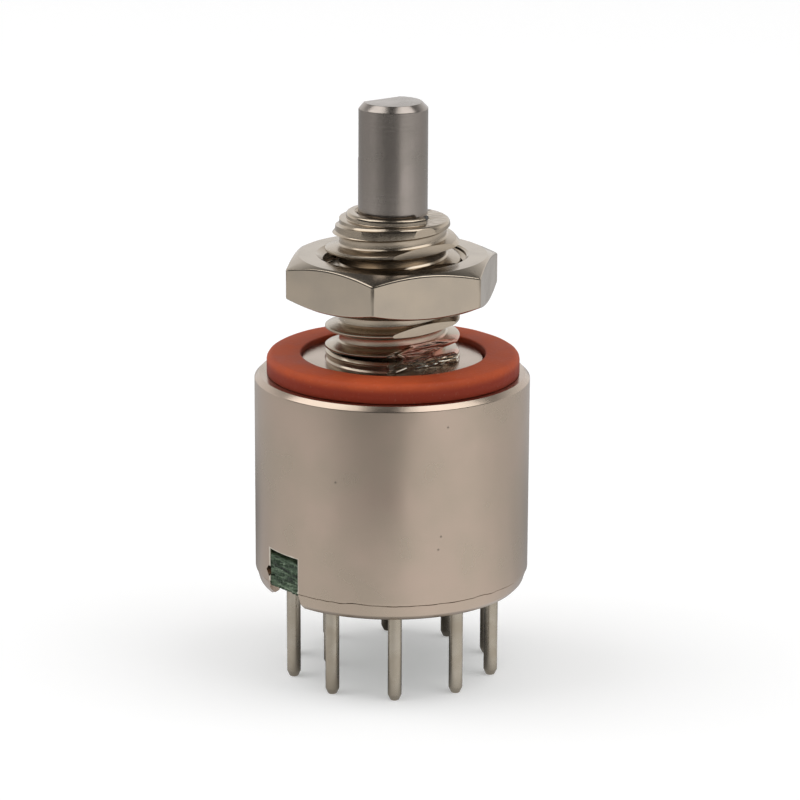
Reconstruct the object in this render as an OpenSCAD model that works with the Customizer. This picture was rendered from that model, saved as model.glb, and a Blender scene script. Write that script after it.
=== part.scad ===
// Sealed miniature rotary selector switch with a threaded panel bushing and board pins.
// All sizes are in millimetres. The origin lies on the shaft's axis, level with the
// tips of the board pins, and +Z runs up the shaft. The flat of the bushing faces +X,
// the first board pin stands on +X, and the locating notch faces -Y.

/* [Housing] */
// Outer diameter of the housing
housing_d = 12.7; // [11.4:0.1:14]
// Height from the rolled lip to the panel face
housing_h = 10.1; // [9.1:0.1:12]
// Side wall
side_wall = 0.45; // [0.35:0.05:0.5]
// Top wall, under the bushing
top_wall = 1.3; // [1:0.1:1.5]
// Chamfer on the housing's upper edge
face_chamfer = 0.22; // [0.1:0.02:0.4]
// Height of the lip that is rolled in under the base
lip_h = 0.8; // [0.6:0.05:1]
// How far the rolled lip closes in on the outside
lip_in = 0.45; // [0.3:0.05:0.5]
// Horizontal thickness of the rolled lip
lip_t = 0.45; // [0.4:0.05:0.5]
// Width of the locating notch in the lip
notch_w = 2.1; // [1:0.1:3]
// Height of the locating notch
notch_h = 2.45; // [1.5:0.05:3]

/* [Bushing] */
// Diameter of the round boss that the seal sits on
boss_d = 8.4; // [7.4:0.1:8.6]
// Height of the boss over the panel face
boss_h = 0.67; // [0.4:0.05:0.8]
// Height of the bushing over the panel face
bushing_h = 7.55; // [7:0.1:10]
// Major diameter of the bushing's thread
thread_d = 6.3; // [5.9:0.1:6.5]
// Distance from the axis to the flat of the bushing
bushing_flat = 2.5; // [2.45:0.05:2.8]
// Diameter of the bushing's end face
lead_d = 3.98; // [3.5:0.02:4.1]
// Height of the chamfer on the collar at the bushing's end
lead_h = 0.15; // [0.1:0.05:0.25]
// Diameter of the collar round the bushing's mouth
collar_d = 4.28; // [4.2:0.02:4.7]
// Height of the collar
collar_h = 0.33; // [0.3:0.01:0.4]
// Diameter of the plain nose over the thread
nose_d = 5.2; // [5:0.1:5.6]
// Height of the nose with its collar
nose_h = 0.85; // [0.75:0.05:1.2]
// Chamfer on the nose's upper edge
nose_chamfer = 0.2; // [0.1:0.05:0.25]
// Diameter of the plain band under the thread
relief_d = 6.1; // [5.9:0.05:6.2]
// Height of the plain band over the boss
relief_h = 0.4; // [0.2:0.05:0.8]

/* [Shaft] */
// Diameter of the shaft
shaft_d = 3.175; // [3:0.025:3.2]
// Length of shaft beyond the bushing
shaft_out = 5.05; // [4.6:0.1:20]
// Chamfer at the tip of the shaft
tip_chamfer = 0.3; // [0.1:0.05:0.5]
// Distance from the axis to the flat of the shaft
shaft_flat = 0.79; // [0.7:0.05:1.4]
// Length of the flat, from the tip down
flat_len = 2.6; // [1:0.1:4]
// Width of the groove for the shaft seal
groove_w = 0.6; // [0.55:0.05:0.8]
// Diameter at the bottom of the groove
groove_d = 2.3; // [2.1:0.05:2.5]
// Depth of the groove's upper edge inside the bushing's mouth
groove_down = 0.1; // [0.05:0.05:0.5]
// Chamfer on the rims of the drum
drum_chamfer = 0.2; // [0.1:0.05:0.3]
// Width across the square drive under the drum
drive_w = 2; // [1.8:0.1:2.1]
// Diameter of the pivot at the shaft's lower end
pivot_d = 1.4; // [1:0.1:1.6]
// Depth that the pivot enters the base
pivot_in = 0.7; // [0.4:0.1:1.2]

/* [Nut and panel seal] */
// Width across the flats of the nut
nut_af = 8.94; // [8.2:0.01:9.5]
// Thickness of the nut
nut_t = 2.1; // [1.5:0.1:3]
// Height of the nut's underside over the panel face
nut_up = 3.46; // [2:0.02:4]
// Turn of the nut's first corner from +X, in degrees
nut_turn = 12; // [0:1:59]
// Angle of the chamfers on the nut's corners, in degrees
nut_chamfer_angle = 25; // [20:1:35]
// Countersink at each end of the nut's bore
nut_sink = 0.15; // [0.05:0.05:0.3]
// Height of the panel seal
seal_h = 0.92; // [0.85:0.01:1.5]
// How far the panel seal lies inside the housing's side
seal_inset = 0.525; // [0.4:0.025:0.8]
// Radius of the panel seal's edges
seal_edge_r = 0.2; // [0.05:0.01:0.3]

/* [Detent] */
// Number of switch positions and of outer board pins
positions = 10; // [6:1:10]
// Diameter of each detent ball
ball_d = 1.5875; // [1.4:0.0125:1.6]
// How deep a ball's centre lies inside the drum's rim
ball_sink = 0.25; // [0.2:0.01:0.3]
// Height of the detent ring
ring_h = 2.7; // [2.5:0.1:3]
// Wall of the detent ring behind the scallops
ring_wall = 1.12; // [0.8:0.02:1.5]
// Depth of the scallops in the detent ring
scallop_depth = 0.27; // [0.15:0.01:0.32]
// Radius of each scallop
scallop_r = 0.9; // [0.8:0.05:1.2]
// Wire of the detent spring
detent_wire = 0.24; // [0.15:0.01:0.26]
// Turns of the detent spring
detent_turns = 8; // [5:1:10]
// Thickness of the thrust washer over the drum
washer_t = 0.2; // [0.1:0.05:0.4]
// Outer diameter of the thrust washer
washer_d = 7; // [5:0.1:7.4]

/* [Stop] */
// Thickness of the stop arm
arm_t = 0.6; // [0.4:0.05:0.8]
// Diameter of the hub of the stop arm
arm_hub_d = 5.2; // [4:0.1:6]
// Width of the square-cut stop pin
stop_pin_w = 0.8; // [0.6:0.05:1]
// Radial thickness of the stop pin
stop_pin_t = 0.55; // [0.4:0.05:0.6]
// Depth that the stop pin is pressed into the detent ring
stop_pin_in = 1.2; // [0.8:0.1:2]
// Play between the stop arm and the pin at each end of travel, in degrees
stop_play = 1; // [0.5:0.5:3]

/* [Contacts] */
// Thickness of the contact rotor's disc
rotor_t = 1.3; // [1.1:0.1:1.6]
// Thickness of the guides under the rotor
guide_t = 0.5; // [0.4:0.05:0.8]
// How far the guides stand down from the disc
guide_h = 0.75; // [0.6:0.05:0.8]
// Width of the sliding contact
wiper_w = 1.1; // [0.9:0.05:1.3]
// Thickness of the sliding contact
wiper_t = 0.3; // [0.2:0.05:0.35]
// Gap between the rotor and the sliding contact, which the spring spans
contact_gap = 0.58; // [0.4:0.02:0.8]
// How far the sliding contact reaches past the middle of each foot
wiper_over = 0.35; // [0.35:0.01:0.4]
// Diameter of the sliding contact's feet at the bar
foot_d = 0.6; // [0.5:0.05:0.65]
// Diameter of the feet where they slide
foot_tip_d = 0.2; // [0.1:0.05:0.4]
// Height of the sliding contact's feet
foot_h = 0.3; // [0.2:0.05:0.35]
// Radius at which the inner foot runs
inner_foot_r = 2.2; // [2.15:0.05:2.3]
// Diameter of the contact spring
contact_spring_d = 1.3; // [1.1:0.1:1.5]
// Wire of the contact spring
contact_wire = 0.18; // [0.12:0.01:0.2]
// Turns of the contact spring
contact_turns = 5; // [3:1:6]
// Depth of the contact spring's pocket in the rotor
spring_pocket = 0.8; // [0.5:0.1:0.9]
// Inner diameter of the common ring
common_id = 3.5; // [3.2:0.1:3.6]
// Outer diameter of the common ring
common_od = 6.9; // [6.7:0.1:7.2]

/* [Base and pins] */
// Wall of the base's skirt
skirt_t = 0.4; // [0.3:0.05:0.45]
// Depth of the key's face behind the housing's side
key_recess = 0.25; // [0.1:0.05:0.3]
// Width of the tabs that hold the detent ring
tab_w = 1.4; // [0.8:0.1:2]
// Height of the tabs
tab_h = 0.5; // [0.3:0.1:0.8]
// How far the base's underside lies below the bend of the lip
base_drop = 0.1; // [0.05:0.05:0.2]
// Length of each pin below the lip
pin_out = 4.2; // [3:0.1:8]
// Diameter of each pin
pin_d = 0.64; // [0.5:0.02:0.7]
// How far a pin stays straight above the lip's edge, before its neck swells to the shank
pin_straight = 0.05; // [0.03:0.01:0.08]
// Width of a pin's knurled shank in the base
shank_d = 0.74; // [0.7:0.02:0.8]
// How far the middles of the outer pins lie inside the housing's side
pin_inset = 1.525; // [1.5:0.005:1.6]
// Diameter of a pin's contact head
head_d = 1; // [0.9:0.05:1.1]
// Height of a pin's contact head over the base's floor
head_h = 0.35; // [0.25:0.05:0.5]
// Radius at which the common pin stands
common_pin_r = 2.85; // [2.7:0.05:2.9]
// Direction of the common pin from +X, in degrees
common_pin_at = 234; // [0:1:359]

/* [Clearances] */
// Radial clearance of a running fit
run_clear = 0.04; // [0.02:0.01:0.06]
// Axial play of the turning parts
end_play = 0.02; // [0.01:0.01:0.05]
// Radial clearance of the bushing's thread in the nut
nut_clear = 0.05; // [0.03:0.01:0.08]
// Clearance of the panel seal round the boss
seal_clear = 0.05; // [0.02:0.01:0.08]
// Clearance of the inner parts in the housing and the base
fit_clear = 0.03; // [0.01:0.01:0.05]
// Clearance of moulded-in metal
mould_clear = 0.01; // [0.005:0.005:0.02]
// Gap between the turning parts and the base's skirt
skirt_gap = 0.2; // [0.15:0.05:0.25]
// Gap between stacked turning and fixed parts
stack_gap = 0.15; // [0.1:0.05:0.2]

/* [Hidden] */
$fn = 96;
knurl_sides = 12;
wire_sides = 8;
wire_steps = 16;
cut = 1;

// Levels, from the pin tips up
z_lip = pin_out;
z_under = z_lip + lip_h - base_drop;
z_face = z_lip + housing_h;
z_boss = z_face + boss_h;
z_bushing = z_face + bushing_h;
z_shoulder = z_bushing - collar_h;
z_tip = z_bushing + shaft_out;
z_roof = z_face - top_wall;
z_ring = z_roof - ring_h;
z_drum_top = z_roof - washer_t - end_play;
z_drum = z_ring - stack_gap;
z_ball = (z_drum_top + z_drum) / 2;
z_arm = z_drum - arm_t;
z_rotor = z_arm - rotor_t;
z_wiper = z_rotor - contact_gap - wiper_t;
z_head = z_wiper - foot_h - end_play;
z_floor = z_head - head_h;
z_groove = z_bushing - groove_down - groove_w / 2;

// Radii
housing_r = housing_d / 2;
inner_r = housing_r - side_wall;
insert_r = inner_r - fit_clear;
skirt_r = insert_r - skirt_t;
bore_r = shaft_d / 2 + run_clear;
ball_r = ball_d / 2;
crest_r = insert_r - ring_wall - scallop_depth;
ball_at = crest_r - run_clear - ball_r;
drum_r = ball_at + ball_sink;
scallop_at = crest_r + scallop_depth - scallop_r;
ball_hole_r = ball_r + run_clear;
stop_pin_at = skirt_r - skirt_gap / 2 - stop_pin_t;
arm_r = skirt_r - skirt_gap;
pin_r = pin_d / 2;
shank_r = shank_d / 2;
pin_circle_r = housing_r - pin_inset;
spring_at = (inner_foot_r + pin_circle_r) / 2;

// Angles
index = 360 / positions;
arm_half = index / 2 - stop_play - atan(stop_pin_w / 2 / stop_pin_at);
notch_at = 270;

// The lip slopes in by lip_in over lip_h, and its inner face is parallel to the outer
lip_slope = lip_in / lip_h;
lip_inner_r = housing_r - lip_in - lip_t;
lip_inner_h = (inner_r - lip_inner_r) / lip_slope;

terminal_names = [for (i = [1 : positions]) str("terminal_", i < 10 ? "0" : "", i)];

// What is cut from a square corner at (r, r) to round it
module corner_waste(r) {
    difference() {
        square(r + cut);
        circle(r);
    }
}

// Half section of a ring, with all four edges rounded
module rounded_section(r_in, r_out, h, edge) {
    difference() {
        translate([r_in, 0]) square([r_out - r_in, h]);
        translate([r_out - edge, h - edge]) corner_waste(edge);
        translate([r_out - edge, edge]) mirror([0, 1]) corner_waste(edge);
        translate([r_in + edge, h - edge]) mirror([1, 0]) corner_waste(edge);
        translate([r_in + edge, edge]) mirror([1, 0]) mirror([0, 1]) corner_waste(edge);
    }
}

// Round wire wound up the Z axis, from z = 0 to z = length
module coil_spring(length, mean_r, wire_r, turns) {
    steps = turns * wire_steps;
    function at(i, j) =
        let (a = 360 * i / wire_steps,
             b = 360 * j / wire_sides,
             r = mean_r + wire_r * cos(b),
             z = wire_r + (length - 2 * wire_r) * i / steps + wire_r * sin(b))
        [r * cos(a), r * sin(a), z];
    points = [for (i = [0 : steps], j = [0 : wire_sides - 1]) at(i, j)];
    sides = [for (i = [0 : steps - 1], j = [0 : wire_sides - 1])
        let (k = (j + 1) % wire_sides)
        [i * wire_sides + j, i * wire_sides + k,
         (i + 1) * wire_sides + k, (i + 1) * wire_sides + j]];
    first = [for (j = [wire_sides - 1 : -1 : 0]) j];
    last = [for (j = [0 : wire_sides - 1]) steps * wire_sides + j];
    polyhedron(points, concat([first], sides, [last]));
}

// Sector of a circle about +X
module sector(r, half_angle) {
    polygon([[0, 0], [r, -r * tan(half_angle)], [r, r * tan(half_angle)]]);
}

// Can with the bushing turned on it, its lip rolled in and a notch for the key
module housing() {
    color([0.66, 0.62, 0.57])
    difference() {
        rotate_extrude() polygon([
            [bore_r, z_roof], [bore_r, z_bushing], [lead_d / 2, z_bushing],
            [collar_d / 2, z_bushing - lead_h], [collar_d / 2, z_shoulder],
            [nose_d / 2 - nose_chamfer, z_shoulder], [nose_d / 2, z_shoulder - nose_chamfer],
            [nose_d / 2, z_bushing - nose_h],
            [thread_d / 2, z_bushing - nose_h - (thread_d - nose_d) / 2],
            [thread_d / 2, z_boss + relief_h], [relief_d / 2, z_boss + relief_h],
            [relief_d / 2, z_boss], [boss_d / 2, z_boss], [boss_d / 2, z_face],
            [housing_r - face_chamfer, z_face], [housing_r, z_face - face_chamfer],
            [housing_r, z_lip + lip_h], [housing_r - lip_in, z_lip], [lip_inner_r, z_lip],
            [inner_r, z_lip + lip_inner_h], [inner_r, z_roof]]);
        translate([bushing_flat, -housing_r, z_boss])
            cube([housing_r, housing_d, bushing_h]);
        rotate(notch_at) translate([lip_inner_r - cut, -notch_w / 2, z_lip - cut])
            cube([housing_r, notch_w, notch_h + cut]);
    }
}

// Panel nut, part-way up the bushing
module hex_nut() {
    nut_r = nut_af / 2;
    corner_r = nut_r / cos(30);
    drop = (corner_r - nut_r) * tan(nut_chamfer_angle);
    nut_bore_r = thread_d / 2 + nut_clear;
    color([0.68, 0.64, 0.58])
    translate([0, 0, z_face + nut_up]) rotate(nut_turn)
    intersection() {
        cylinder(r = corner_r, h = nut_t, $fn = 6);
        rotate_extrude() polygon([
            [nut_bore_r + nut_sink, 0], [nut_r, 0], [corner_r, drop], [corner_r + cut, drop],
            [corner_r + cut, nut_t - drop], [corner_r, nut_t - drop], [nut_r, nut_t],
            [nut_bore_r + nut_sink, nut_t], [nut_bore_r, nut_t - nut_sink],
            [nut_bore_r, nut_sink]]);
    }
}

// Soft ring between the housing and the panel, round the boss
module panel_seal() {
    color([0.72, 0.28, 0.17])
    translate([0, 0, z_face])
    rotate_extrude()
        rounded_section(boss_d / 2 + seal_clear, housing_r - seal_inset, seal_h, seal_edge_r);
}

// Shaft, detent drum, square drive and pivot, turned and milled from one bar
module shaft() {
    shaft_r = shaft_d / 2;
    color([0.56, 0.54, 0.52])
    difference() {
        union() {
            rotate_extrude() polygon([
                [0, z_drum], [drum_r - drum_chamfer, z_drum],
                [drum_r, z_drum + drum_chamfer], [drum_r, z_drum_top - drum_chamfer],
                [drum_r - drum_chamfer, z_drum_top], [shaft_r, z_drum_top],
                [shaft_r, z_groove - groove_w / 2], [groove_d / 2, z_groove - groove_w / 2],
                [groove_d / 2, z_groove + groove_w / 2], [shaft_r, z_groove + groove_w / 2],
                [shaft_r, z_tip - tip_chamfer], [shaft_r - tip_chamfer, z_tip], [0, z_tip]]);
            translate([-drive_w / 2, -drive_w / 2, z_rotor])
                cube([drive_w, drive_w, z_drum - z_rotor + cut]);
            translate([0, 0, z_floor - pivot_in])
                cylinder(d = pivot_d, h = z_rotor - z_floor + pivot_in + cut);
        }
        translate([-drum_r - cut, 0, z_ball]) rotate([0, 90, 0])
            cylinder(r = ball_hole_r, h = 2 * (drum_r + cut));
        translate([-shaft_flat - shaft_d, -shaft_d, z_tip - flat_len])
            cube([shaft_d, 2 * shaft_d, flat_len + cut]);
    }
}

// O-ring in the groove of the shaft
module shaft_seal() {
    cord_r = (bore_r - groove_d / 2) / 2 - mould_clear;
    color([0.12, 0.12, 0.12])
    translate([0, 0, z_groove])
    rotate_extrude() translate([groove_d / 2 + cord_r + mould_clear, 0]) circle(cord_r, $fn = 32);
}

// Flat washer that carries the drum's thrust on the housing
module thrust_washer() {
    color([0.78, 0.62, 0.38])
    translate([0, 0, z_roof - washer_t])
    difference() {
        cylinder(d = washer_d, h = washer_t);
        translate([0, 0, -cut]) cylinder(r = bore_r + fit_clear, h = washer_t + 2 * cut);
    }
}

// Ring with one scallop for each position, and slots for the base's tabs
module detent_ring() {
    color([0.62, 0.60, 0.56])
    translate([0, 0, z_ring])
    difference() {
        linear_extrude(ring_h) difference() {
            circle(insert_r);
            circle(crest_r);
            for (i = [0 : positions - 1])
                rotate(i * index) translate([scallop_at, 0]) circle(scallop_r);
        }
        for (side = [90, 270])
            rotate(side) translate([skirt_r - skirt_gap, -tab_w / 2 - fit_clear, -cut])
                cube([skirt_t + 2 * cut, tab_w + 2 * fit_clear, tab_h + fit_clear + cut]);
        rotate(index / 2) translate([stop_pin_at, -stop_pin_w / 2, -cut])
            cube([stop_pin_t, stop_pin_w, stop_pin_in + cut]);
    }
}

// Spring across the drum, which pushes the two balls apart
module detent_spring() {
    half = ball_at - ball_r;
    color([0.70, 0.70, 0.68])
    translate([-half, 0, z_ball]) rotate([0, 90, 0])
        coil_spring(2 * half, ball_hole_r - run_clear - detent_wire / 2, detent_wire / 2, detent_turns);
}

// Detent ball at one end of the drum's cross hole
module detent_ball(side) {
    color([0.80, 0.80, 0.80])
    translate([side * ball_at, 0, z_ball]) sphere(ball_r);
}

// Stamped arm on the square drive, whose finger meets the stop pin
module stop_arm() {
    color([0.60, 0.60, 0.60])
    translate([0, 0, z_arm])
    linear_extrude(arm_t) difference() {
        union() {
            circle(d = arm_hub_d);
            intersection() {
                circle(arm_r);
                sector(arm_r, arm_half);
            }
        }
        square(drive_w + 2 * mould_clear, center = true);
    }
}

// Pin of flat stock, pressed into the detent ring, that ends the arm's travel both ways
module stop_pin() {
    color([0.74, 0.74, 0.72])
    rotate(index / 2) translate([stop_pin_at, -stop_pin_w / 2, z_arm + stack_gap])
        cube([stop_pin_t, stop_pin_w, z_ring + stop_pin_in - z_arm - stack_gap]);
}

// Moulded disc on the square drive, with guides for the sliding contact
module contact_rotor() {
    guide_from = inner_foot_r;
    guide_to = pin_circle_r;
    color([0.16, 0.17, 0.18])
    difference() {
        union() {
            translate([0, 0, z_rotor]) cylinder(r = arm_r, h = rotor_t);
            for (side = [-1, 1])
                translate([guide_from, side * (wiper_w / 2 + fit_clear + guide_t / 2) - guide_t / 2,
                           z_rotor - guide_h])
                    cube([guide_to - guide_from, guide_t, guide_h + cut / 2]);
        }
        translate([0, 0, z_rotor + rotor_t / 2])
            cube([drive_w + 2 * mould_clear, drive_w + 2 * mould_clear, rotor_t + cut], center = true);
        translate([spring_at, 0, z_rotor - cut])
            cylinder(d = contact_spring_d + 2 * fit_clear, h = spring_pocket + cut);
    }
}

// Spring between the rotor's pocket and the sliding contact
module contact_spring() {
    z_from = z_wiper + wiper_t;
    color([0.72, 0.70, 0.62])
    translate([spring_at, 0, z_from])
        coil_spring(z_rotor + spring_pocket - z_from, (contact_spring_d - contact_wire) / 2,
                    contact_wire / 2, contact_turns);
}

// Bar that bridges the common ring and one pin's head, on two coined feet
module sliding_contact() {
    color([0.80, 0.66, 0.40])
    union() {
        translate([inner_foot_r - wiper_over, -wiper_w / 2, z_wiper])
            cube([pin_circle_r - inner_foot_r + 2 * wiper_over, wiper_w, wiper_t]);
        for (at = [inner_foot_r, pin_circle_r])
            translate([at, 0, z_wiper - foot_h]) rotate_extrude() polygon([
                [0, 0], [foot_tip_d / 2, 0], [foot_d / 2, foot_h], [0, foot_h + wiper_t / 2]]);
    }
}

// Moulded base with a skirt that holds the detent ring up, and a key in the notch
module base() {
    key_w = notch_w - 2 * fit_clear;
    key_h = z_lip + notch_h - fit_clear - z_under;
    under_r = lip_inner_r - fit_clear + lip_slope * (z_under - z_lip);
    chamfer_h = (insert_r - under_r) / lip_slope;
    color([0.20, 0.30, 0.23])
    difference() {
        union() {
            rotate_extrude() polygon([
                [0, z_under], [under_r, z_under], [insert_r, z_under + chamfer_h],
                [insert_r, z_ring], [skirt_r, z_ring], [skirt_r, z_floor], [0, z_floor]]);
            intersection() {
                translate([0, 0, z_under]) cylinder(r = housing_r - key_recess, h = key_h);
                rotate(notch_at) translate([lip_inner_r - skirt_t / 2, -key_w / 2, z_under])
                    cube([housing_r, key_w, key_h]);
            }
            for (side = [90, 270])
                intersection() {
                    translate([0, 0, z_ring - tab_h]) difference() {
                        cylinder(r = insert_r, h = 2 * tab_h);
                        translate([0, 0, -cut]) cylinder(r = skirt_r, h = 2 * tab_h + 2 * cut);
                    }
                    rotate(side) translate([skirt_r - cut, -tab_w / 2, z_ring - tab_h])
                        cube([skirt_t + 2 * cut, tab_w, 2 * tab_h]);
                }
        }
        for (i = [0 : positions - 1])
            rotate(i * index) translate([pin_circle_r, 0, z_under - cut])
                knurl(mould_clear, z_floor - z_under + 2 * cut);
        rotate(common_pin_at) translate([common_pin_r, 0, z_under - cut])
            knurl(mould_clear, z_floor - z_under + 2 * cut);
        translate([0, 0, z_floor - pivot_in - stack_gap])
            cylinder(r = pivot_d / 2 + run_clear, h = pivot_in + stack_gap + cut);
    }
}

// Plated ring on the base's floor, under the inner foot
module common_ring() {
    color([0.82, 0.80, 0.76])
    translate([0, 0, z_floor])
    difference() {
        cylinder(d = common_od, h = head_h);
        translate([0, 0, -cut]) cylinder(d = common_id, h = head_h + 2 * cut);
        rotate(common_pin_at) translate([common_pin_r, 0, -cut])
            knurl(mould_clear, head_h + 2 * cut);
    }
}

// Knurled shank of a pin, and with a clearance the place that it takes up
module knurl(clear, h) {
    cylinder(r = shank_r + clear, h = h, $fn = knurl_sides);
}

// Round pin with a ball end, a neck that swells below the base, and its knurled shank
// from the base up to the given level
module board_pin(z_end) {
    z_neck = z_lip + pin_straight;
    translate([0, 0, pin_r]) sphere(pin_r);
    translate([0, 0, pin_r]) cylinder(r = pin_r, h = z_neck - pin_r);
    translate([0, 0, z_neck])
        cylinder(r1 = pin_r, r2 = (pin_r + shank_r) / 2, h = z_under - z_neck);
    translate([0, 0, z_under]) knurl(0, z_end - z_under);
}

// Pin of the common ring, flush with the ring's face
module common_terminal() {
    color([0.70, 0.67, 0.62])
    rotate(common_pin_at) translate([common_pin_r, 0, 0]) board_pin(z_head);
}

// Pin of one position, with a contact head on the base's floor. Positions count
// clockwise from +X, as seen from the shaft's end.
module terminal(position) {
    head_r = head_d / 2;
    head_edge = head_h / 3;
    color([0.70, 0.67, 0.62])
    rotate(-(position - 1) * index) translate([pin_circle_r, 0, 0]) {
        board_pin(z_floor);
        translate([0, 0, z_floor]) rotate_extrude() polygon([
            [0, 0], [head_r, 0], [head_r, head_h - head_edge],
            [head_r - head_edge, head_h], [0, head_h]]);
    }
}

housing();
hex_nut();
panel_seal();
shaft();
shaft_seal();
thrust_washer();
detent_ring();
detent_spring();
detent_ball(1);  // detent_ball_front
detent_ball(-1);  // detent_ball_back
stop_arm();
stop_pin();
contact_rotor();
contact_spring();
sliding_contact();
base();
common_ring();
common_terminal();
for (i = [1 : positions])
    terminal(i);
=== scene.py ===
# %% [markdown]
# # A sealed rotary selector switch
# A small metal can holds ten contacts. A steel shaft comes out through a threaded bushing,
# a hexagon nut runs on the thread and an orange ring seals the panel. The construction is
# loaded as a fixed frame, in metres, and each piece below is modelled round it, in
# millimetres, and made small at the end. Metres would leave every edge so short that merging
# and boolean cuts lose it, so the bench works at a thousand times the size.

# %% The fixed frame
import math

import bpy
from mathutils import Matrix, Vector


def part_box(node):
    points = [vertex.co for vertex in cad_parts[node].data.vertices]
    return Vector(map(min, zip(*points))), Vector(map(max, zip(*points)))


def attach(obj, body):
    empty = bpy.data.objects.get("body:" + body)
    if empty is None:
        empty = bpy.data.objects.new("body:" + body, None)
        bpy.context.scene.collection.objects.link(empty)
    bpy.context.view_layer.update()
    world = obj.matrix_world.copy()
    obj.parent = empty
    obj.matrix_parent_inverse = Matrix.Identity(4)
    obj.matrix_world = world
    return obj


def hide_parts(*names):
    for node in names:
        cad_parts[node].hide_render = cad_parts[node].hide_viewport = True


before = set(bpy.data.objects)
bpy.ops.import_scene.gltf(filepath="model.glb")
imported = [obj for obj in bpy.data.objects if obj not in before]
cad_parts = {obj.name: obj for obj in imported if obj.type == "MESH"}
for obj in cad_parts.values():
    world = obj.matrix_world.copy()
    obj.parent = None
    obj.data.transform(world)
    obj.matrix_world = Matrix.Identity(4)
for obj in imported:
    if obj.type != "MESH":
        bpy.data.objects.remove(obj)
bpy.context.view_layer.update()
MM = 0.001

# %% [markdown]
# ## Sizes that come from the frame
# Every level and radius that the pieces share is measured on the frame's own nodes, so the
# looks follow when the construction changes. The boss and the notch have no node of their
# own. Their sizes are written once, here, because the can's shape and its finish both use them.

# %% Levels and radii, in millimetres
def box_mm(node):
    """Lowest and highest corner of a node, in millimetres."""
    low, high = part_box(node)
    return low / MM, high / MM


can_low, can_high = box_mm("housing")
seal_low, seal_high = box_mm("panel_seal")
nut_low, nut_high = box_mm("hex_nut")
shaft_low, shaft_high = box_mm("shaft")
pin_low, pin_high = box_mm("terminal_01")
base_low = box_mm("base")[0]

CAN_R = can_high.x
LIP_Z = can_low.z
UNDER_Z = base_low.z
FACE_Z = seal_low.z
BUSHING_Z = can_high.z
TIP_Z = shaft_high.z
BOSS_H = 0.67
BOSS_Z = FACE_Z + BOSS_H
NOTCH_W = 2.1
NOTCH_H = 2.45
NOTCH_Z = LIP_Z + NOTCH_H
print(f"can radius {CAN_R:.3f}, lip {LIP_Z:.2f}, base {UNDER_Z:.2f}, face {FACE_Z:.2f}, "
      f"bushing {BUSHING_Z:.2f}, tip {TIP_Z:.2f}")

# %% [markdown]
# ## The camera
# A long lens stands a hand's breadth away, a little above the switch, and looks down on it
# by some sixteen degrees. It is tilted by a quarter of a degree, as a hand-set camera is.

# %% Camera
CAMERA_AZIMUTH = math.radians(52.04)
CAMERA_AWAY = 157.19
CAMERA_HEIGHT = 56.81
AIM_ASIDE = 0.364
AIM_HEIGHT = 12.905
CAMERA_ROLL = math.radians(0.252)
SENSOR = 36.0
LENS = 158.958

bpy.ops.object.camera_add()
camera = bpy.context.object
camera.name = "camera"
camera.data.sensor_width = SENSOR
camera.data.lens = LENS
camera.data.clip_start = 0.01
camera.data.clip_end = 20

right = Vector((math.cos(CAMERA_AZIMUTH), math.sin(CAMERA_AZIMUTH), 0))
toward_camera = Vector((math.sin(CAMERA_AZIMUTH), -math.cos(CAMERA_AZIMUTH), 0))
eye = toward_camera * CAMERA_AWAY + Vector((0, 0, CAMERA_HEIGHT))
aim = right * AIM_ASIDE + Vector((0, 0, AIM_HEIGHT))
forward = (aim - eye).normalized()
across = forward.cross(Vector((0, 0, 1))).normalized()
up = across.cross(forward)
rolled = across * math.cos(CAMERA_ROLL) + up * math.sin(CAMERA_ROLL)
up = rolled.cross(forward)
turn = Matrix((rolled, up, -forward)).transposed().to_4x4()
camera.matrix_world = Matrix.Translation(eye * MM) @ turn
bpy.context.scene.camera = camera
bpy.context.scene.view_settings.view_transform = "Standard"
print("camera at", [round(v, 2) for v in eye], "mm")

# %% [markdown]
# ## The stage
# The switch stands on its pins on a white table. Metal shows mostly what stands round it, so
# the table and the world are white to glossy rays too. The table is an ordinary matt surface
# that keeps the switch's shadow, with a little glow of its own so that it reads as paper. From
# below it is clear, so that the underside can be looked at.

# %% Node helpers for every material
def new_material(name):
    """An empty node tree and its output."""
    material = bpy.data.materials.new(name)
    material.use_nodes = True
    material.node_tree.nodes.clear()
    output = material.node_tree.nodes.new("ShaderNodeOutputMaterial")
    return material, material.node_tree, output


def add_node(tree, kind, values=None, **settings):
    """Adds a node, sets its properties, and fills or links the sockets named in values."""
    node = tree.nodes.new(kind)
    for key, value in settings.items():
        setattr(node, key, value)
    for key, value in (values or {}).items():
        if isinstance(value, bpy.types.NodeSocket):
            tree.links.new(value, node.inputs[key])
        else:
            node.inputs[key].default_value = value
    return node


def math_node(tree, operation, a, b=0.0, clamp=False):
    """The output of one Math node."""
    return add_node(tree, "ShaderNodeMath", {0: a, 1: b}, operation=operation, use_clamp=clamp).outputs[0]


def product(tree, first, *others):
    """Several values multiplied together."""
    for other in others:
        first = math_node(tree, "MULTIPLY", first, other)
    return first


def object_place(tree):
    """Object coordinates, in metres."""
    return add_node(tree, "ShaderNodeTexCoord").outputs["Object"]


def split_axes(tree, vector):
    """The X, Y and Z of a vector."""
    return add_node(tree, "ShaderNodeSeparateXYZ", {0: vector}).outputs


def stretched(tree, place, across, upright):
    """Coordinates times across on X and Y and times upright on Z."""
    scale = (across, across, upright)
    return add_node(tree, "ShaderNodeMapping", {"Vector": place, "Scale": scale}).outputs[0]


def seen_rays(tree):
    """A Light Path node's Is Glossy Ray, and 1 for camera, glossy and transmission rays."""
    rays = add_node(tree, "ShaderNodeLightPath").outputs
    seen = math_node(tree, "ADD", rays["Is Camera Ray"], rays["Is Glossy Ray"], True)
    return rays["Is Glossy Ray"], math_node(tree, "ADD", seen, rays["Is Transmission Ray"], True)


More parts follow.
